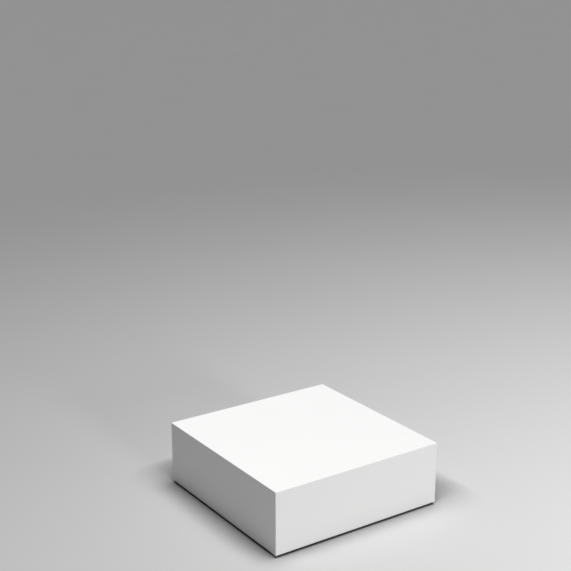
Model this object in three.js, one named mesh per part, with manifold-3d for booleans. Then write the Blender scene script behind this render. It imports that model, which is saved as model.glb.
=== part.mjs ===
// A low display plinth for a museum or exhibition: a white box of mitred 18 mm MDF, open underneath,
// that stands 8 mm off the floor on four screw feet set in from its edges.
//
// The frame is in millimetres, +Z up, with the origin on the floor under the middle of the box and the
// front face towards -Y. The plinth has four equal quarters. Each one holds a side panel and everything
// that belongs to it and to the corner at its right-hand end, and is turned a quarter turn from the last.
import * as THREE from "three";
import { RoundedBoxGeometry } from "three/addons/geometries/RoundedBoxGeometry.js";
import { mergeVertices } from "three/addons/utils/BufferGeometryUtils.js";
import Module from "manifold-3d";

const wasm = await Module();
wasm.setup();

// ---------------------------------------------------------------- driving dimensions

const BOX_SIDE = 600; // width and depth of the box
const BOX_HEIGHT = 200; // from the bottom edge of the side panels to the display surface
const FLOOR_GAP = 8; // shadow gap between the floor and that bottom edge
const PANEL = 18; // MDF thickness of the casing and the ribs
const ARRIS = 1; // radius of the eased outer edges
const FRAME_SET_UP = 12; // the softwood frame stops this far above the bottom edge, so the feet tuck in

const POST = 44; // corner post, square
const BATTEN = 34; // top batten, square
const RAIL_DEEP = 44; // bottom rail, height
const RAIL_THICK = 20; // bottom rail, thickness
const CLEAT = 20; // glue cleat, square
const RIB_BOTTOM = 70; // height of the ribs' lower edge above the floor

const TONGUE_WIDE = 16; // plywood tongue, half of it in each panel
const TONGUE_THICK = 4;
const TONGUE_INSET = 8.5; // from the inner corner of the mitre to the middle of the tongue
const TOP_TONGUE_LENGTH = 500;
const CORNER_TONGUE_LENGTH = 150;

const SCREW_LENGTH = 45; // 4 x 45 countersunk wood screws hold the battens to the top
const SCREW_SHANK = 4;
const SCREW_HEAD = 8;
const SCREW_OFFSETS = [-120, 120]; // along a batten from its middle

const THREAD = 8; // M8 levelling screw
const STEM_LENGTH = 40; // threaded length above the hexagon
const HEX_FLATS = 13;
const HEX_HEIGHT = 6;
const PAD_WIDE = 36;
const PAD_HEIGHT = 10.5;
const SOLE_WIDE = 30;
const SOLE_THICK = 3;
const SOLE_PROUD = 1; // rubber that shows below the pad
const INSERT_BARREL = 12;
const INSERT_FLANGE = 20;
const INSERT_FLANGE_THICK = 1.5;
const INSERT_LENGTH = 18;

const FIT = 0.3; // clearance on each side of a piece that sits in a groove or a hole
const ROUND = 32; // segments of a turned piece
const ROUND_SMALL = 12; // segments of a screw and its hole

// ---------------------------------------------------------------- derived places

const HALF = BOX_SIDE / 2;
const INNER = HALF - PANEL; // inner face of a side panel
const BOX_BOTTOM = FLOOR_GAP;
const BOX_TOP = FLOOR_GAP + BOX_HEIGHT;
const UNDER_TOP = BOX_TOP - PANEL; // underside of the top panel
const FRAME_BOTTOM = BOX_BOTTOM + FRAME_SET_UP;
const POST_CENTRE = INNER - POST / 2;
const POST_FACE = INNER - POST; // the battens and rails run between the posts
const BATTEN_BOTTOM = UNDER_TOP - BATTEN;
const RIB_HEIGHT = UNDER_TOP - RIB_BOTTOM;

const PAD_BOTTOM = SOLE_PROUD;
const PAD_TOP = PAD_BOTTOM + PAD_HEIGHT;
const INSERT_BOTTOM = FRAME_BOTTOM - INSERT_FLANGE_THICK;
const HEX_TOP = INSERT_BOTTOM - 0.5; // wound right in, the hexagon all but meets the insert
const HEX_BOTTOM = HEX_TOP - HEX_HEIGHT;
const STEM_TOP = HEX_TOP + STEM_LENGTH;

const SIDES = ["front", "right", "back", "left"];
const CORNERS = ["front_right", "back_right", "back_left", "front_left"];

// ---------------------------------------------------------------- finishes

function finish(color, roughness, metalness = 0) {
  return new THREE.MeshStandardMaterial({ color, roughness, metalness });
}
const whiteLacquer = finish(0xf4f4f2, 0.42);
const softwood = finish(0xd9b483, 0.75);
const rawMdf = finish(0xa98a63, 0.85);
const birchPly = finish(0xd8c19a, 0.7);
const zincSteel = finish(0xb9bdc2, 0.35, 1);
const blackNylon = finish(0x1c1c1e, 0.5);
const blackRubber = finish(0x101011, 0.9);

// ---------------------------------------------------------------- geometry helpers

// A closed geometry as a manifold-3d solid.
function solid(geometry) {
  const bare = geometry.clone();
  bare.deleteAttribute("normal");
  bare.deleteAttribute("uv");
  const merged = mergeVertices(bare, 1e-4);
  return new wasm.Manifold(
    new wasm.Mesh({
      numProp: 3,
      vertProperties: new Float32Array(merged.getAttribute("position").array),
      triVerts: new Uint32Array(merged.index.array),
    }),
  );
}

// A manifold-3d solid as a flat-shaded geometry.
function geometryOf(shape) {
  const mesh = shape.getMesh();
  const geometry = new THREE.BufferGeometry();
  geometry.setAttribute("position", new THREE.BufferAttribute(mesh.vertProperties, 3));
  geometry.setIndex(new THREE.BufferAttribute(mesh.triVerts, 1));
  const flat = geometry.toNonIndexed();
  flat.computeVertexNormals();
  return flat;
}

function cut(geometry, ...cutters) {
  return geometryOf(cutters.reduce((left, cutter) => left.subtract(solid(cutter)), solid(geometry)));
}

// A box between two opposite corners.
function block(x0, y0, z0, x1, y1, z1) {
  const box = new THREE.BoxGeometry(x1 - x0, y1 - y0, z1 - z0);
  return box.translate((x0 + x1) / 2, (y0 + y1) / 2, (z0 + z1) / 2);
}

// A solid of revolution about the Z axis from [radius, z] points that start and end on the axis, or
// close on themselves round a ring.
function turned(points, segments = ROUND) {
  const profile = points.map(([radius, z]) => new THREE.Vector2(radius, z));
  return new THREE.LatheGeometry(profile, segments).rotateX(Math.PI / 2);
}

// A solid with eight corners: four below, anticlockwise from above, and four over them.
function hexahedron(below, above) {
  const corners = [...below, ...above];
  const faces = [[3, 2, 1, 0], [4, 5, 6, 7], [0, 1, 5, 4], [1, 2, 6, 5], [2, 3, 7, 6], [3, 0, 4, 7]];
  const positions = faces.flatMap(([a, b, c, d]) => [a, b, c, a, c, d].flatMap((n) => corners[n]));
  const geometry = new THREE.BufferGeometry();
  geometry.setAttribute("position", new THREE.Float32BufferAttribute(positions, 3));
  geometry.computeVertexNormals();
  return geometry;
}

// The outside of the whole box with its arrises eased. Each panel keeps only what lies inside it.
const envelope = solid(
  new RoundedBoxGeometry(BOX_SIDE, BOX_SIDE, BOX_HEIGHT, 2, ARRIS).translate(0, 0, BOX_BOTTOM + BOX_HEIGHT / 2),
);

// ---------------------------------------------------------------- plywood tongues and their grooves

const TONGUE_MIDDLE = INNER + TONGUE_INSET / Math.SQRT2; // of a corner tongue, from either centre plane

// The tongue in the mitre between the top and the front panel, lying along X across that mitre.
function topTongue(spare = 0) {
  return new THREE.BoxGeometry(
    TOP_TONGUE_LENGTH + 2 * spare,
    TONGUE_WIDE + 2 * spare,
    TONGUE_THICK + 2 * spare,
  )
    .rotateX(Math.PI / 4)
    .translate(0, -TONGUE_MIDDLE, UNDER_TOP + TONGUE_INSET / Math.SQRT2);
}

// The tongue in the mitre between the front and the right panel. It is flush with the bottom edge, and
// its groove runs out there.
function cornerTongue(spare = 0, below = 0) {
  const length = CORNER_TONGUE_LENGTH + spare + below;
  return new THREE.BoxGeometry(TONGUE_WIDE + 2 * spare, TONGUE_THICK + 2 * spare, length)
    .rotateZ(Math.PI / 4)
    .translate(TONGUE_MIDDLE, -TONGUE_MIDDLE, BOX_BOTTOM - below + length / 2);
}

const quarterTurn = (geometry, turns) => geometry.rotateZ((turns * Math.PI) / 2);

// ---------------------------------------------------------------- wood screws

const SCREW_HEAD_DEEP = (SCREW_HEAD - SCREW_SHANK) / 2 + 0.6;

// A countersunk screw pointing up, its head's face at z = 0. A spare turns it into the hole for one.
function screwBody(spare = 0) {
  const head = SCREW_HEAD / 2 + spare;
  const shank = SCREW_SHANK / 2 + spare;
  return turned(
    [
      [0, -spare],
      [head, -spare],
      [head, 0.6],
      [shank, SCREW_HEAD_DEEP],
      [shank, SCREW_LENGTH - 6],
      [0.4 + spare, SCREW_LENGTH + spare],
      [0, SCREW_LENGTH + spare],
    ],
    ROUND_SMALL,
  );
}

function woodScrew() {
  const slots = [0, Math.PI / 2].map((angle) => block(-2.2, -0.5, -1, 2.2, 0.5, 1.7).rotateZ(angle));
  return cut(screwBody(), ...slots);
}

// Where the screws of one batten start: their head faces lie in the batten's lower face.
const screwPlaces = SCREW_OFFSETS.map((x) => [x, BATTEN / 2 - INNER, BATTEN_BOTTOM]);
const screwHoles = () => screwPlaces.map((at) => screwBody(FIT).translate(...at));

// ---------------------------------------------------------------- casing

// The top: full size above, mitred down to the inside of the box below.
function topPanel() {
  const square = (half, z) => [[-half, -half, z], [half, -half, z], [half, half, z], [-half, half, z]];
  const eased = geometryOf(solid(hexahedron(square(INNER, UNDER_TOP), square(HALF, BOX_TOP))).intersect(envelope));
  const grooves = SIDES.map((_, turns) => quarterTurn(topTongue(FIT), turns));
  const pilots = SIDES.flatMap((_, turns) => screwHoles().map((hole) => quarterTurn(hole, turns)));
  return cut(eased, ...grooves, ...pilots);
}

// The front panel: mitred at both ends and along the top, square along the bottom.
function sidePanel() {
  const edge = (outerZ, innerZ) => [
    [-HALF, -HALF, outerZ],
    [HALF, -HALF, outerZ],
    [INNER, -INNER, innerZ],
    [-INNER, -INNER, innerZ],
  ];
  const eased = geometryOf(
    solid(hexahedron(edge(BOX_BOTTOM, BOX_BOTTOM), edge(BOX_TOP, UNDER_TOP))).intersect(envelope),
  );
  return cut(eased, topTongue(FIT), cornerTongue(FIT, 2), quarterTurn(cornerTongue(FIT, 2), -1));
}

// ---------------------------------------------------------------- inner frame

// The post in the front right corner, bored from below for the insert and, above it, for the stem.
function cornerPost() {
  const post = block(-POST / 2, -POST / 2, FRAME_BOTTOM, POST / 2, POST / 2, UNDER_TOP);
  const barrel = INSERT_BARREL / 2 + FIT;
  const stem = THREAD / 2 + 2 * FIT;
  const shoulder = INSERT_BOTTOM + INSERT_LENGTH + FIT;
  const bore = turned([
    [0, FRAME_BOTTOM - 1],
    [barrel, FRAME_BOTTOM - 1],
    [barrel, shoulder],
    [stem, shoulder],
    [stem, STEM_TOP + 4],
    [0, STEM_TOP + 4 + stem],
  ]);
  return cut(post, bore);
}

function topBatten() {
  const batten = block(-POST_FACE, -INNER, BATTEN_BOTTOM, POST_FACE, BATTEN - INNER, UNDER_TOP);
  return cut(batten, ...screwHoles());
}

function bottomRail() {
  return block(-POST_FACE, -INNER, FRAME_BOTTOM, POST_FACE, RAIL_THICK - INNER, FRAME_BOTTOM + RAIL_DEEP);
}

// A rib across the box along X, notched over the battens and halved where the other one crosses it.
function rib(slotFromAbove) {
  const middle = RIB_BOTTOM + RIB_HEIGHT / 2;
  const halfSlot = PANEL / 2 + FIT;
  const [slotBottom, slotTop] = slotFromAbove ? [middle, UNDER_TOP + 1] : [RIB_BOTTOM - 1, middle + FIT];
  const notch = (x0, x1) => block(x0, -PANEL, BATTEN_BOTTOM - FIT, x1, PANEL, UNDER_TOP + 1);
  return cut(
    block(-INNER, -PANEL / 2, RIB_BOTTOM, INNER, PANEL / 2, UNDER_TOP),
    notch(-INNER - 1, BATTEN + FIT - INNER),
    notch(INNER - BATTEN - FIT, INNER + 1),
    block(-halfSlot, -PANEL, slotBottom, halfSlot, PANEL, slotTop),
  );
}

// A cleat against the front panel, on the right or left of the rib that meets it there.
function cleat(side) {
  const near = PANEL / 2;
  const x0 = side > 0 ? near : -near - CLEAT;
  return block(x0, -INNER, RIB_BOTTOM, x0 + CLEAT, CLEAT - INNER, BATTEN_BOTTOM - FIT);
}

// ---------------------------------------------------------------- levelling foot, turned about its own Z axis

const SOCKET_BOTTOM = PAD_BOTTOM + 4.5;
const SOCKET_TOP = SOCKET_BOTTOM + 3.6;
const HEAD_WIDE = 16; // the disc on the end of the stem that the pad snaps over
const HEAD_THICK = 3;
const NECK_WIDE = 10;
const SOLE_TOP = SOLE_THICK;

// The flanged insert that screws up into the post and carries the thread.
function insertNut() {
  const top = INSERT_BOTTOM + INSERT_LENGTH;
  const bore = THREAD / 2 + FIT;
  const barrel = INSERT_BARREL / 2;
  const flange = INSERT_FLANGE / 2;
  return turned([
    [bore, INSERT_BOTTOM],
    [flange - 0.5, INSERT_BOTTOM],
    [flange, INSERT_BOTTOM + 0.5],
    [flange, FRAME_BOTTOM],
    [barrel, FRAME_BOTTOM],
    [barrel, top - 1],
    [barrel - 1, top],
    [bore, top],
    [bore, INSERT_BOTTOM],
  ]);
}

// The levelling screw: head disc, neck, hexagon for a spanner, and the thread.
function stem() {
  const head = HEAD_WIDE / 2;
  const neck = NECK_WIDE / 2;
  const shank = THREAD / 2;
  const headBottom = SOCKET_BOTTOM + FIT;
  const turnedBody = turned([
    [0, headBottom],
    [head - 0.5, headBottom],
    [head, headBottom + 0.5],
    [head, headBottom + HEAD_THICK],
    [neck, headBottom + HEAD_THICK],
    [neck, HEX_BOTTOM + 1],
    [shank, HEX_BOTTOM + 1],
    [shank, STEM_TOP - 1],
    [shank - 1, STEM_TOP],
    [0, STEM_TOP],
  ]);
  const hexRadius = HEX_FLATS / Math.sqrt(3);
  const hexagon = new THREE.CylinderGeometry(hexRadius, hexRadius, HEX_HEIGHT, 6)
    .rotateX(Math.PI / 2)
    .translate(0, 0, HEX_BOTTOM + HEX_HEIGHT / 2);
  return geometryOf(solid(turnedBody).add(solid(hexagon)));
}

// The nylon pad: a shallow dome with a socket for the stem's head and a recess below for the sole.
function pad() {
  const rim = PAD_WIDE / 2;
  const recess = SOLE_WIDE / 2 + FIT;
  const socket = HEAD_WIDE / 2 + FIT + 0.1;
  const mouth = NECK_WIDE / 2 + FIT;
  const web = SOLE_TOP + FIT;
  return turned([
    [0, web],
    [recess, web],
    [recess, PAD_BOTTOM],
    [rim - 0.6, PAD_BOTTOM],
    [rim, PAD_BOTTOM + 0.6],
    [rim - 0.2, PAD_BOTTOM + 4.5],
    [rim - 1.6, PAD_BOTTOM + 6],
    [rim - 6.5, PAD_TOP - 0.8],
    [rim - 8, PAD_TOP],
    [mouth + 0.6, PAD_TOP],
    [mouth, PAD_TOP - 0.6],
    [mouth, SOCKET_TOP],
    [socket, SOCKET_TOP],
    [socket, SOCKET_BOTTOM],
    [0, SOCKET_BOTTOM],
  ]);
}

function sole() {
  const rim = SOLE_WIDE / 2;
  return turned([[0, 0], [rim - 0.5, 0], [rim, 0.5], [rim, SOLE_TOP], [0, SOLE_TOP]]);
}

// ---------------------------------------------------------------- assembly

function piece(name, geometry, material, at = [0, 0, 0]) {
  const mesh = new THREE.Mesh(geometry, material);
  mesh.name = name;
  mesh.position.set(...at);
  return mesh;
}

// Everything that belongs to one side of the box and to the corner at its right-hand end.
function quarter(turns) {
  const side = SIDES[turns];
  const corner = CORNERS[turns];
  const group = new THREE.Group();
  group.rotation.z = (turns * Math.PI) / 2;

  group.add(piece(`${side}_panel`, sidePanel(), whiteLacquer));
  group.add(piece(`${side}_top_tongue`, topTongue(), birchPly));
  group.add(piece(`${corner}_corner_tongue`, cornerTongue(), birchPly));
  group.add(piece(`${side}_top_batten`, topBatten(), softwood));
  group.add(piece(`${side}_bottom_rail`, bottomRail(), softwood));
  group.add(piece(`${side}_cleat_1`, cleat(-1), softwood));
  group.add(piece(`${side}_cleat_2`, cleat(1), softwood));
  screwPlaces.forEach((at, n) => group.add(piece(`${side}_batten_screw_${n + 1}`, woodScrew(), zincSteel, at)));

  const foot = new THREE.Group();
  foot.position.set(POST_CENTRE, -POST_CENTRE, 0);
  foot.add(piece(`${corner}_post`, cornerPost(), softwood));
  foot.add(piece(`${corner}_insert_nut`, insertNut(), zincSteel));
  foot.add(piece(`${corner}_foot_stem`, stem(), zincSteel));
  foot.add(piece(`${corner}_foot_pad`, pad(), blackNylon));
  foot.add(piece(`${corner}_foot_sole`, sole(), blackRubber));
  group.add(foot);
  return group;
}

const plinth = new THREE.Group();
plinth.name = "display_plinth";
plinth.add(piece("top_panel", topPanel(), whiteLacquer));
SIDES.forEach((_, turns) => plinth.add(quarter(turns)));

const longRib = piece("rib_left_to_right", rib(true), rawMdf);
const crossRib = piece("rib_front_to_back", rib(false), rawMdf);
crossRib.rotation.z = Math.PI / 2;
plinth.add(longRib, crossRib);

export default plinth;
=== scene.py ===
# %% [markdown]
# # A low display plinth
#
# This lesson finishes a museum plinth in Blender: a white lacquered box of mitred board, open underneath,
# on four screw feet that are tucked up inside it. The joinery was designed first, so its sizes are already
# fixed. Here each piece gets the surface that a workshop gives it. The first cell loads the design as a
# frame. Its nodes lie where they belong, in metres, and everything below takes its place from them.

# %% Load the design
import math
import random

import bmesh
import bpy
from mathutils import Matrix, Vector, noise


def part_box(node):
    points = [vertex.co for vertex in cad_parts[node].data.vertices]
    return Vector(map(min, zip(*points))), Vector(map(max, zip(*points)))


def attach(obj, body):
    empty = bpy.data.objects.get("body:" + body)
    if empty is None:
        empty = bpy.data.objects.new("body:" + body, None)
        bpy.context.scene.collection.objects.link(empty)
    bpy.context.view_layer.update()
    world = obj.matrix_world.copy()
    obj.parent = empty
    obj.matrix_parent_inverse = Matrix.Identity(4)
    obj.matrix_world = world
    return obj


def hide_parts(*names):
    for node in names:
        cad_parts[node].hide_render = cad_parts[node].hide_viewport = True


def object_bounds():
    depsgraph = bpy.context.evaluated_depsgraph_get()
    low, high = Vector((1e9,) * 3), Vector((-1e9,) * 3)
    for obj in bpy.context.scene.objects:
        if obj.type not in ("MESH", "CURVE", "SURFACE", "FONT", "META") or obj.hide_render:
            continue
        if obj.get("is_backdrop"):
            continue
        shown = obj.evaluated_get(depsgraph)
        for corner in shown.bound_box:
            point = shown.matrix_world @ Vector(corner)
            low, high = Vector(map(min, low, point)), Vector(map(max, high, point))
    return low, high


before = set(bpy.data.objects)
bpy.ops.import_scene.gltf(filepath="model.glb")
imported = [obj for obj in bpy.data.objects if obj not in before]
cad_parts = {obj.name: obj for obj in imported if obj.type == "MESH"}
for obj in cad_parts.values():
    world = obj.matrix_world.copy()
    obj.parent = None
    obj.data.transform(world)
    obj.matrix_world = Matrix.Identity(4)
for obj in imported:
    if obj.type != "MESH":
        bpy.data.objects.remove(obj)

MM = 0.001
cad_low, cad_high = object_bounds()
PANEL_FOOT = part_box("front_panel")[0].z
print("the plinth measures", [round(size / MM, 1) for size in cad_high - cad_low], "mm")
print("the side panels end", round(PANEL_FOOT / MM, 1), "mm above the floor")

# %% [markdown]
# ## The camera and the studio
#
# The viewer stands at eye height, off the front left corner, and looks down at the plinth. A camera could
# be aimed with a tracking constraint, but a fixed heading and pitch say the same thing in two plain
# numbers, and nothing has to be solved. A 75 mm lens from nearly four metres keeps the sides of the box
# close to upright.

# %% Set up the camera
EYE = Vector((-1.9906, -2.821, 1.7246))
HEADING = math.radians(34.37)  # clockwise from looking straight at the front panel
PITCH = math.radians(16.67)  # below the horizon
LENS_MM = 75
SENSOR_MM = 36
SEES_AS_FAR_AS = 300

camera_data = bpy.data.cameras.new("viewer")
camera_data.lens = LENS_MM
camera_data.sensor_width = SENSOR_MM
camera_data.clip_end = SEES_AS_FAR_AS
camera = bpy.data.objects.new("viewer", camera_data)
camera.location = EYE
camera.rotation_euler = (math.pi / 2 - PITCH, 0, -HEADING)
bpy.context.scene.collection.objects.link(camera)
bpy.context.scene.camera = camera
print("the eye is", round(EYE.z, 2), "m above the floor")

# %% [markdown]
# Two soft lights do the work. The wide one is overhead and leans a little to the right. It whitens the top,
# and it leaves the soft dark line round the base that tells the eye that the box stands on something. The
# other faces the front panel from low down, so that panel is bright while the gap under it stays dark, and
# the left side falls into shade, lit by the floor alone. Small lamps would give hard shadows on a plain
# white box. A dim sky fills what neither reaches.

# %% Hang the lights
LIGHTS = {  # name: where it shines from, its strength, and how wide it looks, in degrees
    "overhead": (Vector((0.12, 0.0, 1.0)), 3.55, 34),
    "facing": (Vector((0.0, -1.0, 0.2)), 1.32, 10),
}
SKY_STRENGTH = 0.005

for name, (origin, strength, spread) in LIGHTS.items():
    lamp = bpy.data.lights.new(name, "SUN")
    lamp.energy = strength
    lamp.angle = math.radians(spread)
    hung = bpy.data.objects.new(name, lamp)
    hung.rotation_euler = (-origin).to_track_quat("-Z", "Y").to_euler()
    bpy.context.scene.collection.objects.link(hung)

world = bpy.data.worlds.new("studio")
world.use_nodes = True
world.node_tree.nodes["Background"].inputs["Color"].default_value = (1.0, 1.0, 1.0, 1.0)
world.node_tree.nodes["Background"].inputs["Strength"].default_value = SKY_STRENGTH
bpy.context.scene.world = world
bpy.context.scene.view_settings.view_transform = "Standard"
print("soft lights:", ", ".join(LIGHTS))

# %% [markdown]
# ## Writing finishes as sums
#
# A finish is a small tree of nodes. Wiring each one by hand hides the idea, so one class wraps a node's
# output and lets ordinary arithmetic add the Math nodes. Every other node comes from its node() method,
# which takes the kind of node, its settings and what goes into its sockets.

# %% A wire between shader nodes
class Wire:
    """One output of a shader node. Arithmetic on wires adds Math nodes."""

    def __init__(self, socket):
        self.socket = socket

    @classmethod
    def node(cls, tree, kind, settings=None, sockets=None, output=0):
        """Add a node: its settings first, then a value or a wire for each socket named or numbered."""
        node = tree.nodes.new("ShaderNode" + kind)
        for name, value in (settings or {}).items():
            setattr(node, name, value)
        for name, value in (sockets or {}).items():
            if isinstance(value, cls):
                tree.links.new(value.socket, node.inputs[name])
            else:
                node.inputs[name].default_value = value
        return cls(node.outputs[output]) if node.outputs else None

    def compute(self, operation, *values):
        """A Math node in this wire's tree, fed with the values in order."""
        numbered = dict(enumerate(values))
        return Wire.node(self.socket.id_data, "Math", {"operation": operation}, numbered)

    def __add__(self, other):
        return self.compute("ADD", self, other)

    def __sub__(self, other):
        return self.compute("SUBTRACT", self, other)

    def __rsub__(self, other):
        return self.compute("SUBTRACT", other, self)

    def __mul__(self, other):
        return self.compute("MULTIPLY", self, other)

    def __truediv__(self, other):
        return self.compute("DIVIDE", self, other)

    __radd__ = __add__
    __rmul__ = __mul__


# %% [markdown]
# A few shapes of tree come back in finish after finish: noise, a soft step, a blend of two colours and a
# relief. Each gets a short function, so that a finish reads as a recipe. The last one draws the mist of
# lacquer that the panels and the sticks caught near the bottom edge.

# %% Small tools that every finish uses
MIST_LUMPS = 9 * MM
MIST_DRIFT = 50 * MM


def new_finish(name):
    """An empty material, and the function that adds nodes to it."""
    material = bpy.data.materials.new(name)
    material.use_nodes = True
    material.node_tree.nodes.clear()

    def add(kind, settings=None, sockets=None, output=0):
        return Wire.node(material.node_tree, kind, settings, sockets, output)

    return material, add


def close_finish(add, surface):
    """Put the surface on the material's output."""
    add("OutputMaterial", sockets={"Surface": add("BsdfPrincipled", sockets=surface)})


def cloud(add, place, size, detail=2.0):
    """Noise from 0 to 1 with lumps about `size` metres across."""
    return add("TexNoise", {}, {"Vector": place, "Scale": 1 / size, "Detail": detail})


def ease_in(add, value, start, end):
    """0 below start and 1 above end, with a soft step between."""
    limits = {"Value": value, "From Min": start, "From Max": end}
    return add("MapRange", {"interpolation_type": "SMOOTHSTEP"}, limits)


def blend_colours(add, share, first, second):
    """The first colour where share is 0, and the second where it is 1."""
    return add("Mix", {"data_type": "RGBA"}, {0: share, 6: first, 7: second}, output=2)


def stretched(add, place, factors):
    """The place with each axis scaled by its own factor."""
    return add("VectorMath", {"operation": "MULTIPLY"}, {0: place, 1: factors})


def relief(add, height, depth):
    """A normal that shows height, where a height of 1 stands `depth` metres proud."""
    return add("Bump", {}, {"Height": height, "Distance": depth})


def overspray(add, place, reach):
    """White mist that drifted in under the bottom edge, fading out `reach` metres above it."""
    up = add("SeparateXYZ", {}, {"Vector": place}, output=2)
    mist = cloud(add, place, MIST_LUMPS, detail=6.0)
    return 1 - ease_in(add, up - (mist - 0.5) * MIST_DRIFT, PANEL_FOOT, PANEL_FOOT + reach)


# %% [markdown]
# The floor is a wide sheet of pale paper, rolled out until it runs out of sight. A pool of light is painted
# into its colour: it is palest in front of the plinth, to the right, and fades to grey further off, as light
# falls off away from a lamp, so that the white box stands clear of its background. With that light painted
# in, the lamps can be chosen for the box alone. Close to the box a soft shadow is painted in too, for the
# light of the open room at the front left, which two lamps cannot show. The tone is darkened by how much of
# that side the box hides.

# %% Lay the floor
FLOOR_REACH = 120.0
# Painted light: the paper's tone is palest round this spot and falls off with distance, as if a lamp stood
# there.
PAINTED_LIGHT_SPOT = (1.2, -1.8, 0.0)
PALE_GREY = 0.785
FAR_GREY = 0.235
FADE_START = 0.3
FADE_END = 6.6
BLOTCH_SIZE = 0.5
BLOTCH_DEPTH = 0.01
# Painted shadow: near the box the paper's tone is darkened by how much of the front left side the box hides.
SHADE_REACH = 0.17
SHADE_SIDE = (-0.6, -0.8, 0.3)
SHADE_POWER = 3
SHADE_RAYS = 12


def lay_floor():
    mesh = bpy.data.meshes.new("studio_floor")
    bm = bmesh.new()
    bmesh.ops.create_grid(bm, x_segments=1, y_segments=1, size=FLOOR_REACH / 2)
    bm.to_mesh(mesh)
    bm.free()
    material, add = new_finish("paper_with_painted_light_and_shadow")
    place = add("TexCoord", output=3)
    away = add("VectorMath", {"operation": "DISTANCE"}, {0: place, 1: PAINTED_LIGHT_SPOT}, output=1)
    painted_falloff = add("MapRange", {}, {"Value": away, "From Min": FADE_START, "From Max": FADE_END})
    near = 1 - painted_falloff
    blotches = cloud(add, place, BLOTCH_SIZE) * BLOTCH_DEPTH
    # Painted light: a pool of pale tone round one spot, with the paper's own blotches on top.
    paper = near * near * (PALE_GREY - FAR_GREY) + FAR_GREY + blotches
    # Painted shadow: an ambient occlusion node, looking towards the front left, darkens the paper close to
    # the box.
    towards = add("CombineXYZ", {}, dict(zip("XYZ", SHADE_SIDE)))
    view = {"Distance": SHADE_REACH, "Normal": towards}
    open_side = add("AmbientOcclusion", {"samples": SHADE_RAYS}, view, output=1)
    tone = paper * open_side.compute("POWER", open_side, SHADE_POWER)
    colour = add("CombineColor", sockets={0: tone, 1: tone, 2: tone})
    close_finish(add, {"Base Color": colour, "Roughness": 0.9, "Specular IOR Level": 0.1})
    mesh.materials.append(material)
    floor = bpy.data.objects.new("studio_floor", mesh)
    bpy.context.scene.collection.objects.link(floor)
    floor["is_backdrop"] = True


lay_floor()
print("the paper is", FLOOR_REACH, "m wide")

# %% [markdown]
# ## White lacquer over fibreboard
#
# The casing is medium-density fibreboard, primed, rubbed down and sprayed with satin white. Sprayed lacquer
# is never quite flat: it sets with a faint orange peel, about a millimetre from crest to crest, and its
# gloss clouds slightly from one pass of the gun to the next. The inside stays bare, but for mist that
# drifts in at the bottom. One material does both, and an attribute on each face, called sprayed, says which
# side of the board it is.

# %% The lacquer and the bare fibreboard
WHITE = (0.87, 0.87, 0.865, 1.0)
BOARD_DARK = (0.27, 0.17, 0.095, 1.0)
BOARD_PALE = (0.47, 0.33, 0.205, 1.0)
FIBRE_SIZE = 1.6 * MM
PATCH_SIZE = 60 * MM
GUN_PASS = 160 * MM
PEEL_SIZE = 1.1 * MM
PEEL_DEPTH = 0.02 * MM
BOARD_ROUGH = 0.06 * MM
PANEL_MIST = 30 * MM


def fibreboard(add, place):
    """The colour of bare fibreboard, and the height of its pressed fibres."""
    fibres = cloud(add, stretched(add, place, (1.0, 1.0, 2.5)), FIBRE_SIZE, detail=6.0)
    patches = cloud(add, place, PATCH_SIZE, detail=3.0)
    cut = add("Attribute", {"attribute_name": "end"}, output=2)
    pale = ease_in(add, fibres * 0.7 + patches * 0.3 - cut * 0.12, 0.32, 0.68)
    return blend_colours(add, pale, BOARD_DARK, BOARD_PALE), fibres + cut * fibres


def make_lacquer():
    material, add = new_finish("satin_white_lacquer")
    place = add("TexCoord", output=3)
    gun_passes = cloud(add, stretched(add, place, (1.0, 1.0, 3.0)), GUN_PASS)
    peel = cloud(add, place, PEEL_SIZE, detail=1.5)
    sprayed = add("Attribute", {"attribute_name": "sprayed"}, output=2)
    covered = sprayed.compute("MAXIMUM", sprayed, overspray(add, place, PANEL_MIST))
    bare, fibres = fibreboard(add, place)
    close_finish(add, {
        "Base Color": blend_colours(add, covered, bare, WHITE),
        "Roughness": (1 - covered) * 0.45 + 0.34 + gun_passes * 0.1,
        "Normal": relief(add, peel * covered + fibres * (3 - covered * 3), PEEL_DEPTH),
    })
    return material


def make_bare_board():
    material, add = new_finish("bare_fibreboard")
    colour, fibres = fibreboard(add, add("TexCoord", output=3))
    close_finish(add, {
        "Base Color": colour,
        "Roughness": fibres * 0.15 + 0.72,
        "Normal": relief(add, fibres, BOARD_ROUGH),
    })
    return material


finishes = {"white_lacquer": make_lacquer(), "raw_mdf": make_bare_board()}
print("finishes for the board:", ", ".join(finishes))

# %% [markdown]
# ## Pine and birch plywood
#
# Wood is a solid, so its figure is drawn in the solid and not wrapped round it. Each board carries an
# attribute, called board, that says where a point lies in the tree: how far along the trunk, and how far
# from the pith in two directions. Rings are then circles round the pith, and sides and ends of a board show
# the same rings, as arcs on the end grain and as stripes along the length. An image wrapped round the board
# would break at every edge.

# %% The woods
EARLY_WOOD = (0.66, 0.46, 0.255, 1.0)
LATE_WOOD = (0.44, 0.25, 0.105, 1.0)
VENEER_PALE = (0.68, 0.53, 0.345, 1.0)
VENEER_DARK = (0.40, 0.27, 0.145, 1.0)
RING_WIDTH = 3.4 * MM
RING_WANDER = 6 * MM
PINE_FIBRE = 0.6 * MM
PINE_DEPTH = 0.07 * MM
STICK_MIST = 45 * MM
VENEER_THICK = 1.3 * MM
BIRCH_FIBRE = 0.7 * MM
BIRCH_DEPTH = 0.04 * MM


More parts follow.
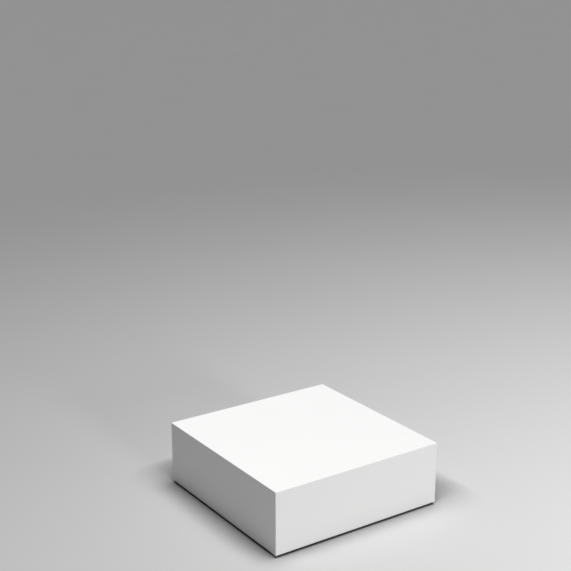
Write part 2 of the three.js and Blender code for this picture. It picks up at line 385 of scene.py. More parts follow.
def make_pine():
    material, add = new_finish("planed_pine")
    board = add("Attribute", {"attribute_name": "board"}, output=1)
    cut = add("Attribute", {"attribute_name": "end"}, output=2)
    wander = cloud(add, stretched(add, board, (0.25, 1.0, 1.0)), 0.03)
    across = stretched(add, board, (0.0, 1.0, 1.0))
    off_pith = add("VectorMath", {"operation": "LENGTH"}, {0: across}, output=1)
    turn = (off_pith + wander * RING_WANDER) / RING_WIDTH
    season = turn.compute("FRACT", turn)
    late = ease_in(add, season, 0.35, 0.93) * (1 - ease_in(add, season, 0.95, 1.0))
    fibres = cloud(add, stretched(add, board, (0.02, 1.0, 1.0)), PINE_FIBRE, detail=4.0)
    wood = blend_colours(add, late * 0.85, EARLY_WOOD, LATE_WOOD)
    shade = ease_in(add, fibres, 0.42, 0.75) * 0.22 + cut * 0.28
    grained = blend_colours(add, shade, wood, LATE_WOOD)
    misted = overspray(add, add("TexCoord", output=3), STICK_MIST) * 0.8
    close_finish(add, {
        "Base Color": blend_colours(add, misted, grained, WHITE),
        "Roughness": 0.62 + cut * 0.2 - late * 0.12,
        "Normal": relief(add, late * 0.6 + fibres, PINE_DEPTH),
    })
    return material


def make_plywood():
    material, add = new_finish("birch_plywood")
    board = add("Attribute", {"attribute_name": "board"}, output=1)
    through = add("SeparateXYZ", {}, {"Vector": board}, output=2) / VENEER_THICK
    crossed = 1 - ease_in(add, through.compute("ABSOLUTE", through), 0.46, 0.54)
    fibres = cloud(add, stretched(add, board, (0.05, 1.0, 1.0)), BIRCH_FIBRE, detail=4.0)
    pores = ease_in(add, fibres, 0.5, 0.8) * 0.5
    close_finish(add, {
        "Base Color": blend_colours(add, crossed * 0.6 + pores, VENEER_PALE, VENEER_DARK),
        "Roughness": fibres * 0.2 + 0.6,
        "Normal": relief(add, fibres, BIRCH_DEPTH),
    })
    return material


finishes.update(softwood=make_pine(), birch_plywood=make_plywood())
print("a ring of the pine is", RING_WIDTH / MM, "mm wide")

# %% [markdown]
# ## Zinc, nylon, rubber and glue
#
# The small parts come from a box of hardware. Zinc plate is bright and slightly clouded with a blue-white
# cast. Moulded nylon has the fine spark texture of its tool. Rubber is close to dead matt. White glue dries
# to a hard amber skin, smooth and a little glossy, so it is given a clear coat.

# %% The hardware finishes
DRIFT_TO_GRAIN = 12


def make_speckled(name, size, depth, dark, light, rough, smooth, surface):
    """A fine grain in relief, under a drift of colour and roughness that is many times wider."""
    material, add = new_finish(name)
    place = add("TexCoord", output=3)
    grain = cloud(add, place, size, detail=3.0)
    drift = cloud(add, place, size * DRIFT_TO_GRAIN)
    close_finish(add, {
        "Base Color": blend_colours(add, drift, dark, light),
        "Roughness": drift * (rough - smooth) + smooth,
        "Normal": relief(add, grain, depth),
        **surface,
    })
    return material


finishes["zinc_steel"] = make_speckled(
    "bright_zinc", 0.8 * MM, 0.004 * MM, (0.60, 0.63, 0.68, 1.0), (0.78, 0.78, 0.76, 1.0), 0.36, 0.2,
    {"Metallic": 1.0},
)
finishes["black_nylon"] = make_speckled(
    "moulded_nylon", 0.3 * MM, 0.012 * MM, (0.012, 0.012, 0.013, 1.0), (0.022, 0.022, 0.024, 1.0), 0.55, 0.42,
    {},
)
finishes["black_rubber"] = make_speckled(
    "matt_rubber", 0.5 * MM, 0.02 * MM, (0.009, 0.009, 0.009, 1.0), (0.017, 0.016, 0.015, 1.0), 0.95, 0.82,
    {},
)
dried_glue = make_speckled(
    "dried_glue", 2 * MM, 0.1 * MM, (0.42, 0.27, 0.09, 1.0), (0.66, 0.51, 0.26, 1.0), 0.42, 0.24,
    {"Coat Weight": 0.5, "Coat Roughness": 0.1},
)
print("finishes made:", ", ".join(finishes), "and dried glue")

# %% [markdown]
# ## Making solids
#
# Every piece is a closed solid made in mesh code. Boards start as a block whose edges are eased, because no
# planed edge is left sharp, turned parts are spun from a profile, and holes are cut with a Boolean. place()
# then gives a solid its finish, lets it ride on the body that carries it, and says which node of the design
# it stands for. grain() lays a board in its tree, for the finishes that ask.

# %% Solids from blocks and profiles
SAME_POINT = 1e-6
TOO_SHORT = 1e-7
SMOOTH_BELOW = 30
LATHE_SIDES = 64
SQUARE_ON = 0.7  # a face is square to an axis when more than this much of its normal lies along it


def to_mesh(bm, name, smooth_below=SMOOTH_BELOW):
    """Close a bmesh into a mesh. Faces that meet at less than smooth_below degrees shade as one."""
    bmesh.ops.remove_doubles(bm, verts=bm.verts, dist=SAME_POINT)
    bmesh.ops.dissolve_degenerate(bm, edges=bm.edges, dist=TOO_SHORT)
    bmesh.ops.recalc_face_normals(bm, faces=bm.faces)
    mesh = bpy.data.meshes.new(name)
    bm.to_mesh(mesh)
    bm.free()
    return shade(mesh, smooth_below)


def shade(mesh, smooth_below=SMOOTH_BELOW):
    """Smooth the faces, but keep an edge wherever they meet more sharply."""
    mesh.shade_smooth()
    mesh.set_sharp_from_angle(angle=math.radians(smooth_below))
    return mesh


def eased_block(low, high, ease, steps=2):
    """A block between two corners, its edges rounded to radius `ease`."""
    bm = bmesh.new()
    low, high = Vector(low), Vector(high)
    place = Matrix.Translation((low + high) / 2) @ Matrix.Diagonal((*(high - low), 1))
    bmesh.ops.create_cube(bm, size=1, matrix=place)
    if ease:
        bmesh.ops.bevel(bm, geom=bm.edges[:], offset=ease, segments=steps, profile=0.5, affect="EDGES")
    return bm


def spin(bm, profile, sides):
    """Skin the surface that a profile of (radius, height) points sweeps round the Z axis."""
    turn = 2 * math.pi / sides
    rings = []
    for radius, z in profile:
        count = sides if radius > 0 else 1
        angles = [turn * n for n in range(count)]
        rings.append([bm.verts.new((radius * math.cos(a), radius * math.sin(a), z)) for a in angles])
    for lower, upper in zip(rings, rings[1:]):
        for n in range(sides):
            corners = [lower[n % len(lower)], lower[(n + 1) % len(lower)],
                       upper[(n + 1) % len(upper)], upper[n % len(upper)]]
            corners = list(dict.fromkeys(corners))
            if len(corners) > 2:
                bm.faces.new(corners)


def turned(name, profile, sides=LATHE_SIDES):
    bm = bmesh.new()
    spin(bm, profile, sides)
    return to_mesh(bm, name)


def carve(mesh, cutters, operation="DIFFERENCE"):
    """Cut the cutters' meshes out of a mesh, one after another, or join or intersect them with it."""
    made = [bpy.data.objects.new(part.name, part) for part in (mesh, *cutters)]
    for thing in made:
        bpy.context.scene.collection.objects.link(thing)
    for cutter in made[1:]:
        step = made[0].modifiers.new("carve", "BOOLEAN")
        step.operation, step.solver, step.object = operation, "EXACT", cutter
    graph = bpy.context.evaluated_depsgraph_get()
    carved = bpy.data.meshes.new_from_object(made[0].evaluated_get(graph))
    carved.name = mesh.name
    for thing in made:
        bpy.data.objects.remove(thing)
    return shade(carved)


def shifted(mesh, place, turn=None):
    """The mesh moved to a place, after a turn given as a matrix."""
    mesh.transform(Matrix.Translation(place) @ (turn or Matrix.Identity(4)))
    return mesh


def place(name, mesh, slot, body="carcass", stands_for=(), at=(0, 0, 0), material=None):
    """Put a finished mesh into the scene as one piece of the plinth."""
    thing = bpy.data.objects.new(name, mesh)
    thing.location = at
    bpy.context.scene.collection.objects.link(thing)
    mesh.materials.clear()
    mesh.materials.append(material or finishes[slot])
    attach(thing, body)
    if stands_for:
        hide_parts(*stands_for)
    return thing


def mark_faces(mesh, name, test):
    """Give each face a 1 where test(centre, normal) holds, for a finish to read."""
    marks = mesh.attributes.new(name, "FLOAT", "FACE")
    for face, mark in zip(mesh.polygons, marks.data):
        mark.value = float(test(face.center, face.normal))


def grain(mesh, along, pith=(0.0, 0.0), start=0.0):
    """Say where the mesh lay in the tree: its board attribute, and which faces are end grain."""
    across = [axis for axis in range(3) if axis != along]
    points = [vertex.co for vertex in mesh.vertices]
    middle = [(min(p[a] for p in points) + max(p[a] for p in points)) / 2 for a in across]
    board = mesh.attributes.new("board", "FLOAT_VECTOR", "POINT")
    for point, mark in zip(points, board.data):
        off_pith = [point[a] - m - p for a, m, p in zip(across, middle, pith)]
        mark.vector = (point[along] + start, *off_pith)
    mark_faces(mesh, "end", lambda centre, normal: abs(normal[along]) > SQUARE_ON)
    return mesh


# %% [markdown]
# ## The casing
#
# The five panels meet in mitres, so no edge of board shows. They are glued up first and their outer edges
# are eased afterwards, across both boards at once. The mesh is made the same way round: one box with
# rounded edges, sliced along the mitres into five boards. Rounding each board alone would leave a groove
# along every joint. Weighted normals then keep the wide faces dead flat right up to the rounding.

# %% How to slice a panel from one eased box
ARRIS = 1 * MM
ARRIS_STEPS = 5
SPRAYED_DEEP = ARRIS * 1.2  # faces whose middle is this near the outside were sprayed
BOX_LOW = Vector((cad_low.x, cad_low.y, PANEL_FOOT))
UNDER_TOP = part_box("top_panel")[0].z
BOARD = cad_high.z - UNDER_TOP
INNER = cad_high.x - BOARD
OUTWARD = {"front": Vector((0, -1, 0)), "right": Vector((1, 0, 0)),
           "back": Vector((0, 1, 0)), "left": Vector((-1, 0, 0))}
SIDES = list(OUTWARD)
CORNERS = ["front_right", "back_right", "back_left", "front_left"]
UP = Vector((0, 0, 1))


def slice_off(bm, point, towards):
    """Saw the solid through point, drop what lies towards that side, and close the cut."""
    everything = bm.verts[:] + bm.edges[:] + bm.faces[:]
    saw = {"plane_co": point, "plane_no": towards, "clear_outer": True}
    bmesh.ops.bisect_plane(bm, geom=everything, dist=TOO_SHORT, **saw)
    rim = [edge for edge in bm.edges if edge.is_boundary]
    bmesh.ops.holes_fill(bm, edges=rim, sides=0)


def panel(name, cuts, grooves):
    """One board of the casing: the eased box less what each (point, direction) cut takes off."""
    bm = eased_block(BOX_LOW, cad_high, ARRIS, ARRIS_STEPS)
    for point, towards in cuts:
        slice_off(bm, point, towards)
    mesh = carve(to_mesh(bm, name), grooves)
    mark_faces(mesh, "sprayed", lambda centre, normal: (
        max(abs(centre.x), abs(centre.y)) > cad_high.x - SPRAYED_DEEP
        or centre.z > cad_high.z - SPRAYED_DEEP or centre.z < PANEL_FOOT + SPRAYED_DEEP
    ))
    made = place("lacquered_" + name, mesh, "white_lacquer", stands_for=[name])
    made.modifiers.new("flat_faces", "WEIGHTED_NORMAL").keep_sharp = True
    return len(mesh.polygons)


print("the board is", round(BOARD / MM, 1), "mm thick")

# %% [markdown]
# The tongues are strips of 4 mm plywood in grooves across the mitres. They line the boards up while the
# glue sets. The tongues in the upright corners run out at the bottom edge, so their ends show there when
# the plinth is turned over. The same block, a little larger, cuts the groove.

# %% Tongues and the grooves they sit in
TONGUE_WIDE = 16 * MM
TONGUE_THICK = 4 * MM
GROOVE_SPARE = 0.3 * MM
TONGUE_EASE = 0.3 * MM


def tongue(node, spare=0.0, ease=TONGUE_EASE):
    """A plywood strip, as long as its node and centred in it, lying square across the mitre."""
    low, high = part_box(node)
    size, middle = high - low, (low + high) / 2
    along = max(range(3), key=lambda axis: size[axis])
    half = Vector((TONGUE_THICK / 2 + spare,) * 3)
    half[along] = size[along] / 2 + spare
    half[1 if along == 0 else 0] = TONGUE_WIDE / 2 + spare
    lean = (-middle.y, middle.x, -middle.x * middle.y)[along]
    turn = Matrix.Rotation(math.copysign(math.pi / 4, lean), 4, "XYZ"[along])
    strip = grain(to_mesh(eased_block(-half, half, ease), node), along)
    return shifted(strip, middle, turn)


def groove(node):
    return tongue(node, GROOVE_SPARE, ease=0)


top_tongues = [f"{side}_top_tongue" for side in SIDES]
corner_tongues = [f"{corner}_corner_tongue" for corner in CORNERS]
for node in top_tongues + corner_tongues:
    place("plywood_" + node, tongue(node), "birch_plywood", stands_for=[node])
print("plywood tongues:", len(top_tongues + corner_tongues))

# %% [markdown]
# Now the box can be sawn. The top keeps what lies above the underside and inside the four mitres. A side
# panel loses what is inside its inner face, what is above its top mitre, and what lies beyond the mitres at
# its two ends. Each board is grooved for the tongues that it touches.

# %% Saw the five panels
mitre_cuts = [(out * INNER + UP * UNDER_TOP, out - UP) for out in OUTWARD.values()]
below_top = [(UP * UNDER_TOP, -UP)]
faces = [panel("top_panel", below_top + mitre_cuts, [groove(node) for node in top_tongues])]
for n, (side, out) in enumerate(OUTWARD.items()):
    along = out.cross(UP)
    cuts = [
        (out * INNER, -out),
        (out * INNER + UP * UNDER_TOP, UP - out),
        (Vector(), along - out),
        (Vector(), -along - out),
    ]
    beside = [top_tongues[n], corner_tongues[n], corner_tongues[n - 1]]
    faces.append(panel(side + "_panel", cuts, [groove(node) for node in beside]))
print("faces on the five panels:", faces)

# %% [markdown]
# ## Screws
#
# A thread is a ridge that climbs one pitch in every turn, so its mesh is a grid that climbs the same way.
# Each row of points follows the helix, and the ridge stays crisp with four rows to a pitch. At either end
# the ridge sinks into the core, as it does where a cut thread runs out, and a spun shape joins it there.
# The wood screws have countersunk heads with a plain cross recess, and their holes are the same shape with
# a little room to spare.

# %% Threads and wood screws
# Each pair is a share of the pitch and a share of the ridge's height.
THREAD_FORM = ((0.0, 0.0), (0.2, 0.0), (0.55, 1.0), (0.65, 1.0))
SCREW_SIDES = 16
SCREW_CORE = 1.35 * MM
SCREW_CREST = 2 * MM
SCREW_PITCH = 1.8 * MM
SCREW_POINT = 6 * MM
HEAD_RADIUS = 4 * MM
HEAD_RIM = 0.6 * MM
HEAD_DEEP = 2.6 * MM
RECESS_LONG = 2.6 * MM
RECESS_THIN = 0.7 * MM
RECESS_DEEP = 1.8 * MM
RECESS_TAPER = 0.5
HOLE_SPARE = 0.3 * MM
HOLE_SIDES = 24
SHORT, MIDDLING, LONG = 30, 45, 55  # lengths in millimetres


def thread(bm, core, crest, pitch, start, end, sides, point=0.0):
    """Skin a thread round the Z axis, from start up to end. Its last `point` metres are drawn to a point."""
    rows = []
    for turn in range(-1, math.ceil((end - start) / pitch) + 1):
        for share, height in THREAD_FORM:
            row = []
            for n in range(sides + 1):
                z = min(max(start + (turn + share + n / sides) * pitch, start), end)
                ridge = min(1, (z - start) / pitch, (end - z) / pitch)
                radius = core + (crest - core) * height * ridge
                if point:
                    radius *= min(1, (end - z) / point)
                angle = 2 * math.pi * (n % sides) / sides
                row.append(bm.verts.new((radius * math.cos(angle), radius * math.sin(angle), z)))
            rows.append(row)
    for lower, upper in zip(rows, rows[1:]):
        for n in range(sides):
            bm.faces.new((lower[n], lower[n + 1], upper[n + 1], upper[n]))


def wood_screw(length):
    """A countersunk screw that stands on its head, with the face of the head at height 0."""
    bm = bmesh.new()
    plain = length / 3
    corner = 0.2 * MM
    spin(bm, [(0, 0), (HEAD_RADIUS - corner, 0), (HEAD_RADIUS, corner), (HEAD_RADIUS, HEAD_RIM),
              (SCREW_CORE, HEAD_DEEP), (SCREW_CORE, plain)], SCREW_SIDES)
    thread(bm, SCREW_CORE, SCREW_CREST, SCREW_PITCH, plain, length, SCREW_SIDES, SCREW_POINT)
    blades = []
    for wide, long in ((RECESS_THIN, RECESS_LONG), (RECESS_LONG, RECESS_THIN)):
        blade = eased_block((-wide, -long, -RECESS_DEEP), (wide, long, RECESS_DEEP), 0)
        for corner_point in blade.verts:
            if corner_point.co.z > 0:
                corner_point.co.xy *= RECESS_TAPER
        blades.append(to_mesh(blade, "blade"))
    return carve(to_mesh(bm, "wood_screw"), blades)


def pointing(towards, spin_angle=0.0):
    """The turn that points something's Z axis towards a direction."""
    return towards.to_track_quat("Z", "Y").to_matrix().to_4x4() @ Matrix.Rotation(spin_angle, 4, "Z")


def screw_hole(at, towards, length):
    """A cutter for the hole that takes a wood screw, with room to spare all round."""
    head = HEAD_RADIUS + HOLE_SPARE
    shank = SCREW_CREST + HOLE_SPARE
    profile = [(0, -HOLE_SPARE), (head, -HOLE_SPARE), (head, HEAD_RIM), (shank, HEAD_DEEP),
               (shank, length + HOLE_SPARE), (0, length + HOLE_SPARE)]
    return shifted(turned("hole", profile, HOLE_SIDES), at, pointing(towards))


def joined(name, meshes):
    bm = bmesh.new()
    for mesh in meshes:
        bm.from_mesh(mesh)
    return to_mesh(bm, name)


SCREWS = {length: wood_screw(length * MM) for length in (SHORT, MIDDLING, LONG)}
print("faces on a", MIDDLING, "mm screw:", len(SCREWS[MIDDLING].polygons))

# %% [markdown]
# ## The frame inside
#
# The softwood frame is plain joiner's work: posts in the corners, battens under the edges of the top, rails
# round the bottom, and cleats that hold the ribs. Each piece is a planed stick with its edges just eased,
# cut from its own place in its own tree. It is glued to the panel behind it and pulled tight with screws
# from the inside, so nothing shows outside. The battens are also screwed up into the top, and the posts are
# bored for the feet.

# %% Sticks of pine
STICK_EASE = 0.7 * MM
PITH_NEAR, PITH_FAR = 0.03, 0.09
TRUNK = 5  # metres of tree that the sticks are spread along
BORE_SPARE = 0.3 * MM
BARREL_BORE = 6 * MM  # the radius of the insert nut's outer thread
SHANK_BORE = 4 * MM  # the radius of the stem's thread
BORE_BEYOND = 4 * MM
BORE_SIDES = 48
joiner = random.Random(7)
driven = []


def stick(node, screws=(), holes=()):
    """A planed stick in its node's place, drilled for screws: (place, direction, length in mm)."""
    low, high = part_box(node)
    size = high - low
    along = max(range(3), key=lambda axis: size[axis])
    mesh = to_mesh(eased_block(low, high, STICK_EASE), node)
    drilled = [screw_hole(at, towards, length * MM) for at, towards, length in screws]
    mesh = carve(mesh, [*holes, *drilled])
    angle = joiner.uniform(0, 2 * math.pi)
    away = joiner.uniform(PITH_NEAR, PITH_FAR)
    grain(mesh, along, (away * math.cos(angle), away * math.sin(angle)), joiner.uniform(0, TRUNK))
    place("planed_" + node, mesh, "softwood", stands_for=[node])


def outward(node, out, spots, length):
    """Screws through a stick into the panel outside it, at (sideways, height) spots in mm."""
    low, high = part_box(node)
    sideways = out.cross(UP)
    near = min(low.dot(out), high.dot(out))
    centre = sideways * (low + high).dot(sideways) / 2 + out * near
    screws = [(centre + sideways * aside * MM + UP * height * MM, out, length) for aside, height in spots]
    driven.extend(screws)
    return screws


def post_bore(corner):
    """The hole up into a post: wide for the insert nut, and narrower above it for the stem."""
    nut_low, nut_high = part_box(corner + "_insert_nut")
    barrel = BARREL_BORE + BORE_SPARE
    shank = SHANK_BORE + 2 * BORE_SPARE
    shoulder = nut_high.z + BORE_SPARE
    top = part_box(corner + "_foot_stem")[1].z + BORE_BEYOND
    profile = [(0, 0), (barrel, 0), (barrel, shoulder), (shank, shoulder), (shank, top), (0, top + shank)]
    middle = (nut_low + nut_high) / 2
    return shifted(turned("bore", profile, BORE_SIDES), Vector((middle.x, middle.y, 0)))


print("the middle of a stick lies", round(PITH_NEAR / MM), "to", round(PITH_FAR / MM), "mm from the pith")

# %% [markdown]
# One pass round the box makes each side's sticks and the post at its end. A post is screwed to both panels
# of its corner, at staggered heights so that the screws miss each other. The screws of the battens into the
# top are nodes of the design. The rest are gathered while the sticks are drilled, and driven together at
# the end.

# %% Build the frame
# Where the screws go, as (sideways, height) in millimetres.
BATTEN_SPOTS = [(aside, 173) for aside in (-180, -60, 60, 180)]
RAIL_SPOTS = [(aside, 42) for aside in (-160, 0, 160)]
CLEAT_SPOTS = [(0, 90), (0, 135)]
POST_SPOTS = [(0, 85), (0, 135)]
STAGGERED_SPOTS = [(0, 100), (0, 150)]

for n, (side, out) in enumerate(OUTWARD.items()):
    batten = f"{side}_top_batten"
    upward = []
    for number in (1, 2):
        screw_low, screw_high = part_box(f"{side}_batten_screw_{number}")
        middle = (screw_low + screw_high) / 2
        at = Vector((middle.x, middle.y, screw_low.z))
        upward.append((at, UP, MIDDLING))
        turn = pointing(UP, joiner.uniform(0, math.pi))
        screw = shifted(SCREWS[MIDDLING].copy(), at, turn)
        place(f"driven_{side}_batten_screw_{number}", screw, "zinc_steel",
              stands_for=[f"{side}_batten_screw_{number}"])
    stick(batten, upward + outward(batten, out, BATTEN_SPOTS, MIDDLING))
    rail = f"{side}_bottom_rail"
    stick(rail, outward(rail, out, RAIL_SPOTS, SHORT))
    for number in (1, 2):
        cleat = f"{side}_cleat_{number}"
        stick(cleat, outward(cleat, out, CLEAT_SPOTS, SHORT))
    post = f"{CORNERS[n]}_post"
    next_out = OUTWARD[SIDES[(n + 1) % len(SIDES)]]
    screws = outward(post, out, POST_SPOTS, LONG) + outward(post, next_out, STAGGERED_SPOTS, LONG)
    stick(post, screws, [post_bore(CORNERS[n])])

shafts = []
for at, towards, length in driven:
    turn = pointing(towards, joiner.uniform(0, math.pi))
    shafts.append(shifted(SCREWS[length].copy(), at, turn))
place("frame_screws", joined("frame_screws", shafts), "zinc_steel")

# %% [markdown]
# ## The ribs
#
# Two ribs of bare fibreboard cross under the top and keep it flat. They are halved over each other where
# they meet, so each runs right across, and they are notched at the ends to pass under the battens. Each is
# cut from a plain board with the same saw cuts that a joiner would make, and its sawn edges read darker and
# rougher.

# %% Cut the ribs
RIB_EASE = 0.5 * MM
RIB_SPARE = 0.3 * MM
BATTEN_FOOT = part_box("front_top_batten")[0].z
BATTEN_FACE = -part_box("front_top_batten")[1].y


def rib(node, slot_from_above):
    """A board with a slot for the other rib, and a notch at each end for a batten."""
    low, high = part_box(node)
    size = high - low
    along = 0 if size.x > size.y else 1
    across = 1 - along
    board = to_mesh(eased_block(low, high, RIB_EASE), node)

    def saw(start, end, bottom, top):
        """A cutter right through the board, from start to end along it."""
        first, last = Vector((-size[across],) * 3), Vector((size[across],) * 3)
        first[along], last[along], first.z, last.z = start, end, bottom, top
        return to_mesh(eased_block(first, last, 0), "saw")

    middle = (low.z + high.z) / 2
    half_slot = size[across] / 2 + RIB_SPARE
    slot = (middle, high.z + MM) if slot_from_above else (low.z - MM, middle + RIB_SPARE)
    beyond = size[along]
    board = carve(board, [
        saw(-half_slot, half_slot, *slot),
        saw(BATTEN_FACE - RIB_SPARE, beyond, BATTEN_FOOT - RIB_SPARE, high.z + MM),
        saw(-beyond, -BATTEN_FACE + RIB_SPARE, BATTEN_FOOT - RIB_SPARE, high.z + MM),
    ])
    mark_faces(board, "end", lambda centre, normal: abs(normal[across]) < SQUARE_ON)
    place("sawn_" + node, board, "raw_mdf", stands_for=[node])


rib("rib_left_to_right", slot_from_above=True)
rib("rib_front_to_back", slot_from_above=False)
print("the ribs stop", round((UNDER_TOP - BATTEN_FOOT) / MM), "mm short of the top where the battens pass")

# %% [markdown]
# ## Glue
#
# Glue that squeezes out of a joint sets in the corner as a thin uneven fillet. Out of sight, nobody wipes
# it off. Each bead is a small strip, hollow across its face, whose size wanders along its length and that
# thins out at both ends.

# %% Run the beads of glue
BEAD_SIZE = 1.9 * MM
BEAD_STEP = 6 * MM
BEAD_GAP = 13 * MM
BEAD_SWELL = 1.1
LUMPS_PER_METRE = 45
BEAD_TAPER = 3  # steps over which an end thins out
BEAD_TIP = 0.4  # a step's worth of size that is left at the very end
BEAD_HOLLOW = 0.36


def bead(bm, start, end, first, second):
    """A fillet of glue along a corner, resting on the faces that lead off in the two directions given."""
    count = max(4, round((end - start).length / BEAD_STEP))
    rings = []
    for n in range(count + 1):
        corner = start.lerp(end, n / count)
        swell = 1 + BEAD_SWELL * noise.noise(corner * LUMPS_PER_METRE)
        size = BEAD_SIZE * swell * min(1, (n + BEAD_TIP) / BEAD_TAPER, (count - n + BEAD_TIP) / BEAD_TAPER)
        spots = [Vector(), first * size, (first + second) * size * BEAD_HOLLOW, second * size]
        rings.append([bm.verts.new(corner + spot) for spot in spots])
    for near, far in zip(rings, rings[1:]):
        for k in range(4):
            bm.faces.new((near[k], near[(k + 1) % 4], far[(k + 1) % 4], far[k]))
    bm.faces.new(rings[0])
    bm.faces.new(rings[-1])


def run_beads():
    """Beads beside the ribs, behind the battens and along the rails, on all four sides."""
    bm = bmesh.new()
    rib_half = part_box("rib_left_to_right")[1].y
    post_face = -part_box("front_right_post")[1].y
    rail_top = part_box("front_bottom_rail")[1].z
    for out in OUTWARD.values():
        sideways = out.cross(UP)
        for hand in (-sideways, sideways):
            rib_corner = hand * rib_half + UP * UNDER_TOP
            bead(bm, rib_corner + out * BEAD_GAP, rib_corner + out * (BATTEN_FACE - BEAD_GAP / 2), hand, -UP)
            batten_corner = out * BATTEN_FACE + UP * UNDER_TOP
            bead(bm, batten_corner + hand * BEAD_GAP, batten_corner + hand * post_face, -out, -UP)
        rail_corner = out * INNER + UP * rail_top
        bead(bm, rail_corner - sideways * post_face, rail_corner + sideways * post_face, -out, UP)
    return to_mesh(bm, "glue_beads", smooth_below=50)


beads = place("glue_beads", run_beads(), None, material=dried_glue)
print("glue beads have", len(beads.data.polygons), "faces")

# %% [markdown]
# ## The feet
#
# A foot has four parts. A flanged insert nut is screwed into the bottom of the post. The steel stem runs in
# it, so turning the stem by its hexagon raises or lowers the corner. Its round head snaps into a nylon pad,
# which can stay still while the stem turns, and a rubber sole under the pad grips the floor. Stem, pad and
# nut are all turned parts, and the stem's hexagon is a six-sided block with its corners turned off, joined
# to the rest.

# %% Insert nuts and stems
FOOT_SIDES = 40
NUT_BORE = 4.3 * MM
NUT_CORE = 5 * MM
NUT_CREST = 6 * MM
NUT_PITCH = 3 * MM
NUT_FLANGE = 10 * MM
NOTCH_DEEP = 0.8 * MM
CHAMFER = 0.5 * MM
STEM_CORE = 3.4 * MM
STEM_CREST = 4 * MM
STEM_PITCH = 1.25 * MM
STEM_NECK = 5 * MM
HEAD_DISC = 8 * MM
HEAD_THICK = 3 * MM
HEX_FLATS = 13 * MM
HEX_LOW = 12 * MM
HEX_HIGH = 18 * MM
CORNER_OFF = 0.6 * MM


def insert_nut():
    """A flanged nut: coarse thread outside, plain bore, and a slot across the flange to drive it by."""
    low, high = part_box("front_right_insert_nut")
    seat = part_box("front_right_post")[0].z
    bm = bmesh.new()
    spin(bm, [(NUT_BORE, high.z), (NUT_BORE, low.z + CHAMFER), (NUT_BORE + CHAMFER, low.z),
              (NUT_FLANGE - CHAMFER, low.z), (NUT_FLANGE, low.z + CHAMFER), (NUT_FLANGE, seat),
              (NUT_CORE, seat)],
         FOOT_SIDES)
    thread(bm, NUT_CORE, NUT_CREST, NUT_PITCH, seat, high.z - CHAMFER, FOOT_SIDES)
    spin(bm, [(NUT_CORE, high.z - CHAMFER), (NUT_CORE - CHAMFER, high.z), (NUT_BORE, high.z)], FOOT_SIDES)
    notch = eased_block((-2 * NUT_FLANGE, -MM, 0), (2 * NUT_FLANGE, MM, low.z + NOTCH_DEEP), 0)
    return carve(to_mesh(bm, "insert_nut"), [to_mesh(notch, "notch")])


def hexagon():
    """A six-sided block with its corners turned off at both ends."""
    corner = HEX_FLATS / math.sqrt(3)
    flat = HEX_FLATS / 2
    block = turned("hexagon", [(0, HEX_LOW), (corner, HEX_LOW), (corner, HEX_HIGH), (0, HEX_HIGH)], sides=6)
    lathe = turned("lathe", [
        (0, HEX_LOW - MM), (flat - MM, HEX_LOW - MM), (flat, HEX_LOW), (corner, HEX_LOW + CORNER_OFF),
        (corner, HEX_HIGH - CORNER_OFF), (flat, HEX_HIGH), (flat - MM, HEX_HIGH + MM), (0, HEX_HIGH + MM),
    ])
    return carve(block, [lathe], "INTERSECT")


def foot_stem():
    """A threaded stem with a hexagon, a neck and a round head."""
    low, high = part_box("front_right_foot_stem")
    run = HEX_HIGH + CHAMFER
    bm = bmesh.new()
    spin(bm, [(0, low.z), (HEAD_DISC - CHAMFER, low.z), (HEAD_DISC, low.z + CHAMFER),
              (HEAD_DISC, low.z + HEAD_THICK - CHAMFER), (HEAD_DISC - CHAMFER, low.z + HEAD_THICK),
              (STEM_NECK, low.z + HEAD_THICK), (STEM_NECK, HEX_LOW + MM), (STEM_CORE, HEX_LOW + MM),
              (STEM_CORE, run)], FOOT_SIDES)
    thread(bm, STEM_CORE, STEM_CREST, STEM_PITCH, run, high.z - MM, FOOT_SIDES)
    spin(bm, [(STEM_CORE, high.z - MM), (STEM_CORE - MM, high.z), (0, high.z)], FOOT_SIDES)
    return carve(to_mesh(bm, "foot_stem"), [hexagon()], "UNION")


print("turns of the stem for each millimetre of height:", MM / STEM_PITCH)

# %% [markdown]
# The pad is moulded with a soft dome, a lip that holds the stem's head, and a recess for the sole. The sole
# is cut from ribbed rubber: its rings give it bite on a smooth floor.

# %% Pads and soles
PAD_SIDES = 96
SOCKET_SPARE = 0.4 * MM
DOME_STEPS = 12
LIP = 0.6 * MM
SOLE_GROOVES = 4
SOLE_EASE = 0.5 * MM
GROOVE_DEEP = 0.5 * MM
GROOVE_MOUTH = 0.9 * MM
GROOVE_FLOOR = 0.6 * MM


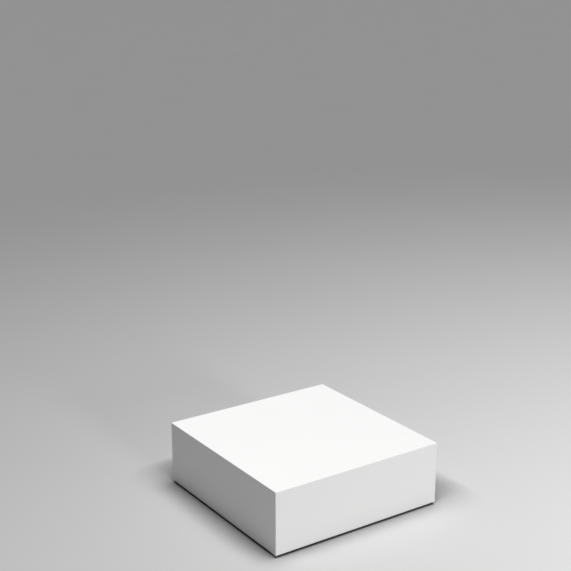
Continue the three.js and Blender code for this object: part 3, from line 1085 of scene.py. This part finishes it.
def foot_pad():
    """A domed pad. Shoulder, bulge and crown, each a radius and a height, steer the curve of its dome."""
    low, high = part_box("front_right_foot_pad")
    sole_low, sole_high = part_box("front_right_foot_sole")
    rim = (high.x - low.x) / 2
    recess = (sole_high.x - sole_low.x) / 2 + HOLE_SPARE
    socket = HEAD_DISC + SOCKET_SPARE
    mouth = STEM_NECK + HOLE_SPARE
    floor_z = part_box("front_right_foot_stem")[0].z - HOLE_SPARE
    roof_z = floor_z + HEAD_THICK + 2 * HOLE_SPARE
    shoulder = Vector((rim - 0.2 * MM, low.z + 4.5 * MM))
    bulge = Vector((rim - 0.8 * MM, high.z - 2.2 * MM))
    crown = Vector((rim - 8 * MM, high.z))
    dome = []
    for n in range(DOME_STEPS + 1):
        t = n / DOME_STEPS
        dome.append(tuple(shoulder * (1 - t) ** 2 + bulge * 2 * t * (1 - t) + crown * t * t))
    return turned("foot_pad", [
        (0, sole_high.z + HOLE_SPARE), (recess, sole_high.z + HOLE_SPARE), (recess, low.z),
        (rim - LIP, low.z), (rim - LIP / 3, low.z + LIP / 3), (rim, low.z + LIP), *dome,
        (mouth + LIP, high.z), (mouth + LIP / 3, high.z - LIP / 3), (mouth, high.z - LIP), (mouth, roof_z),
        (socket, roof_z), (socket, floor_z), (0, floor_z),
    ], PAD_SIDES)


def foot_sole():
    """A flat disc with rings cut into its underside."""
    low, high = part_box("front_right_foot_sole")
    rim = (high.x - low.x) / 2
    profile = [(0, low.z)]
    for n in range(SOLE_GROOVES):
        middle = rim * (n + 1) / (SOLE_GROOVES + 1)
        profile += [(middle - GROOVE_MOUTH, low.z), (middle - GROOVE_FLOOR, low.z + GROOVE_DEEP),
                    (middle + GROOVE_FLOOR, low.z + GROOVE_DEEP), (middle + GROOVE_MOUTH, low.z)]
    profile += [(rim - SOLE_EASE, low.z), (rim - SOLE_EASE / 3, low.z + SOLE_EASE / 3),
                (rim, low.z + SOLE_EASE), (rim, high.z), (0, high.z)]
    return turned("foot_sole", profile, PAD_SIDES)


print("grooves in a sole:", SOLE_GROOVES)

# %% [markdown]
# The parts are made once, about an upright axis, and stand at each corner on the axis of its pad. The nut
# belongs to the casing. The stem and the pad ride on bodies of their own, so each foot can be screwed down,
# and the sole goes with its pad.

# %% Stand a foot at each corner
FOOT_PARTS = {  # the end of the node's name: how it is made, its slot, and the end of its body's name
    "insert_nut": (insert_nut(), "zinc_steel", None),
    "foot_stem": (foot_stem(), "zinc_steel", "stem"),
    "foot_pad": (foot_pad(), "black_nylon", "pad"),
    "foot_sole": (foot_sole(), "black_rubber", "pad"),
}
for corner in CORNERS:
    low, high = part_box(corner + "_foot_pad")
    axis = Vector(((low.x + high.x) / 2, (low.y + high.y) / 2, 0))
    for part, (mesh, slot, body) in FOOT_PARTS.items():
        carrier = f"{corner}_{body}" if body else "carcass"
        place(f"turned_{corner}_{part}", mesh, slot, carrier, [f"{corner}_{part}"], at=axis)
print("faces on the parts of a foot:", {part: len(made[0].polygons) for part, made in FOOT_PARTS.items()})

# %% [markdown]
# Last, the finished pieces are measured together. They have to fill the same space as the design did, or
# something that was built to meet the plinth would no longer fit.

# %% Measure the finished plinth
low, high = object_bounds()
print("the finished plinth measures", [round(size / MM, 2) for size in high - low], "mm")
